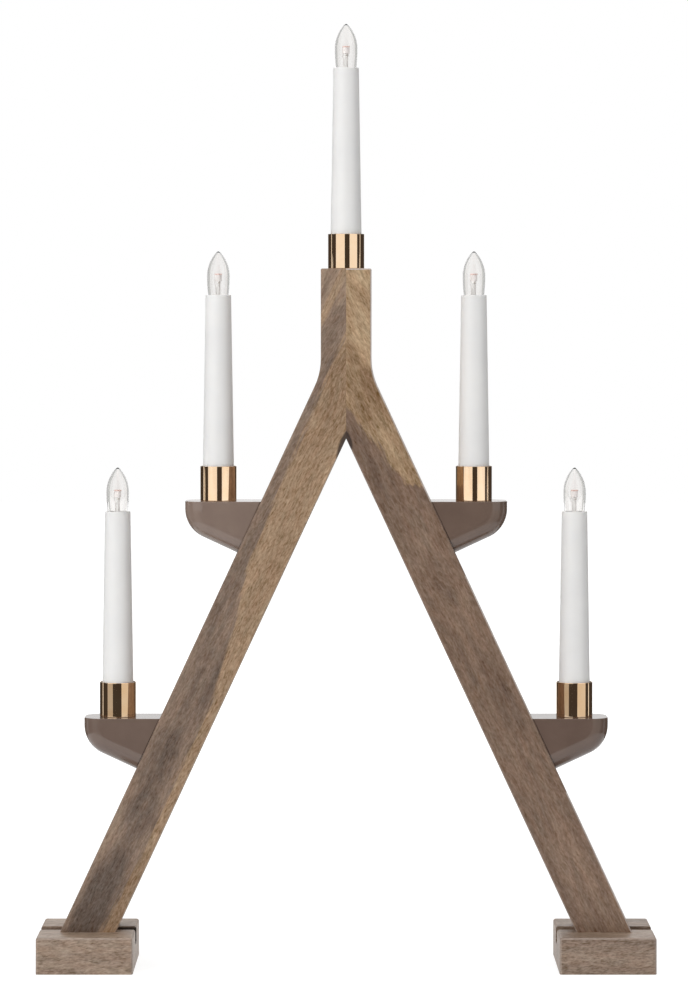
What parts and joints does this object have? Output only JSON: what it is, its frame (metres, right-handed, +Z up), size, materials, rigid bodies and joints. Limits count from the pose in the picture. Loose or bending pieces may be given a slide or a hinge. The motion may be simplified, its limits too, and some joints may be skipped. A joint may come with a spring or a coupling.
{
  "type": "electric candle arch",
  "caption": "Free-standing A-shaped wooden candle arch with stepped lacquered brackets, copper cups, white candle tubes and screw-in clear flame bulbs.",
  "frame": {"origin": "on the surface the feet stand on, midway between them", "axes": "+Z up, +Y to the back, where the wiring channel is; +X to the right seen from the front"},
  "size_m": [0.3716, 0.082, 0.5705],
  "materials": {
    "stained_wood": "grey-brown stained hardwood, matt oiled",
    "lacquered_wood": "taupe lacquer, glossy",
    "dowel_wood": "plain beech",
    "zinc_steel": "zinc plated",
    "polished_copper": "polished copper plate",
    "tube_white": "satin white",
    "holder_plastic": "moulded insulating plastic",
    "contact_brass": "rolled brass",
    "bulb_glass": "clear",
    "bulb_cap_metal": "nickel plated",
    "bulb_light": "diode on a glass stalk with a dark insulator",
    "lead_insulation": "white insulated wire"
  },
  "bodies": {
    "stand": {"left_upright": "stained_wood", "right_upright": "stained_wood", "left_foot": "stained_wood", "right_foot": "stained_wood", "left_cover_strip": "stained_wood", "right_cover_strip": "stained_wood", "stem_cover_strip": "stained_wood", "upper_left_bracket": "lacquered_wood", "upper_right_bracket": "lacquered_wood", "lower_left_bracket": "lacquered_wood", "lower_right_bracket": "lacquered_wood", "seam_dowels": "dowel_wood", "bracket_dowels": "dowel_wood", "foot_screws": "zinc_steel", "cup_nipples": "zinc_steel", "lower_left_cup": "polished_copper", "upper_left_cup": "polished_copper", "top_cup": "polished_copper", "upper_right_cup": "polished_copper", "lower_right_cup": "polished_copper", "lower_left_tube": "tube_white", "upper_left_tube": "tube_white", "top_tube": "tube_white", "upper_right_tube": "tube_white", "lower_right_tube": "tube_white", "tube_seats": "holder_plastic", "lower_left_holder": "holder_plastic", "upper_left_holder": "holder_plastic", "top_holder": "holder_plastic", "upper_right_holder": "holder_plastic", "lower_right_holder": "holder_plastic", "holder_contacts": "contact_brass", "lower_left_thread_shell": "contact_brass", "upper_left_thread_shell": "contact_brass", "top_thread_shell": "contact_brass", "upper_right_thread_shell": "contact_brass", "lower_right_thread_shell": "contact_brass", "link_leads": "lead_insulation", "supply_leads": "lead_insulation"},
    "lower_left_bulb_tip": {"lower_left_bulb_button": "bulb_cap_metal"},
    "lower_left_bulb": {"lower_left_bulb_glass": "bulb_glass", "lower_left_bulb_cap": "bulb_cap_metal", "lower_left_bulb_light": "bulb_light"},
    "upper_left_bulb_tip": {"upper_left_bulb_button": "bulb_cap_metal"},
    "upper_left_bulb": {"upper_left_bulb_glass": "bulb_glass", "upper_left_bulb_cap": "bulb_cap_metal", "upper_left_bulb_light": "bulb_light"},
    "top_bulb_tip": {"top_bulb_button": "bulb_cap_metal"},
    "top_bulb": {"top_bulb_glass": "bulb_glass", "top_bulb_cap": "bulb_cap_metal", "top_bulb_light": "bulb_light"},
    "upper_right_bulb_tip": {"upper_right_bulb_button": "bulb_cap_metal"},
    "upper_right_bulb": {"upper_right_bulb_glass": "bulb_glass", "upper_right_bulb_cap": "bulb_cap_metal", "upper_right_bulb_light": "bulb_light"},
    "lower_right_bulb_tip": {"lower_right_bulb_button": "bulb_cap_metal"},
    "lower_right_bulb": {"lower_right_bulb_glass": "bulb_glass", "lower_right_bulb_cap": "bulb_cap_metal", "lower_right_bulb_light": "bulb_light"}
  },
  "joints": [
    {"name": "lower_left_bulb_rise", "type": "slide", "parent": "stand", "child": "lower_left_bulb_tip", "axis": [0, 0, 1], "range_m": [0, 0.00915]},
    {"name": "lower_left_bulb_turn", "type": "hinge", "parent": "lower_left_bulb_tip", "child": "lower_left_bulb", "pos_m": [-0.13847, 0, 0.2755], "axis": [0, 0, 1], "range_deg": [0, 1800]},
    {"name": "upper_left_bulb_rise", "type": "slide", "parent": "stand", "child": "upper_left_bulb_tip", "axis": [0, 0, 1], "range_m": [0, 0.00915]},
    {"name": "upper_left_bulb_turn", "type": "hinge", "parent": "upper_left_bulb_tip", "child": "upper_left_bulb", "pos_m": [-0.07739, 0, 0.4065], "axis": [0, 0, 1], "range_deg": [0, 1800]},
    {"name": "top_bulb_rise", "type": "slide", "parent": "stand", "child": "top_bulb_tip", "axis": [0, 0, 1], "range_m": [0, 0.00915]},
    {"name": "top_bulb_turn", "type": "hinge", "parent": "top_bulb_tip", "child": "top_bulb", "pos_m": [0, 0, 0.544], "axis": [0, 0, 1], "range_deg": [0, 1800]},
    {"name": "upper_right_bulb_rise", "type": "slide", "parent": "stand", "child": "upper_right_bulb_tip", "axis": [0, 0, 1], "range_m": [0, 0.00915]},
    {"name": "upper_right_bulb_turn", "type": "hinge", "parent": "upper_right_bulb_tip", "child": "upper_right_bulb", "pos_m": [0.07739, 0, 0.4065], "axis": [0, 0, 1], "range_deg": [0, 1800]},
    {"name": "lower_right_bulb_rise", "type": "slide", "parent": "stand", "child": "lower_right_bulb_tip", "axis": [0, 0, 1], "range_m": [0, 0.00915]},
    {"name": "lower_right_bulb_turn", "type": "hinge", "parent": "lower_right_bulb_tip", "child": "lower_right_bulb", "pos_m": [0.13847, 0, 0.2755], "axis": [0, 0, 1], "range_deg": [0, 1800]}
  ],
  "couplings": [
    {"joint": "lower_left_bulb_rise", "follows": "lower_left_bulb_turn", "m_per_rad": 0.00028807},
    {"joint": "upper_left_bulb_rise", "follows": "upper_left_bulb_turn", "m_per_rad": 0.00028807},
    {"joint": "top_bulb_rise", "follows": "top_bulb_turn", "m_per_rad": 0.00028807},
    {"joint": "upper_right_bulb_rise", "follows": "upper_right_bulb_turn", "m_per_rad": 0.00028807},
    {"joint": "lower_right_bulb_rise", "follows": "lower_right_bulb_turn", "m_per_rad": 0.00028807}
  ]
}
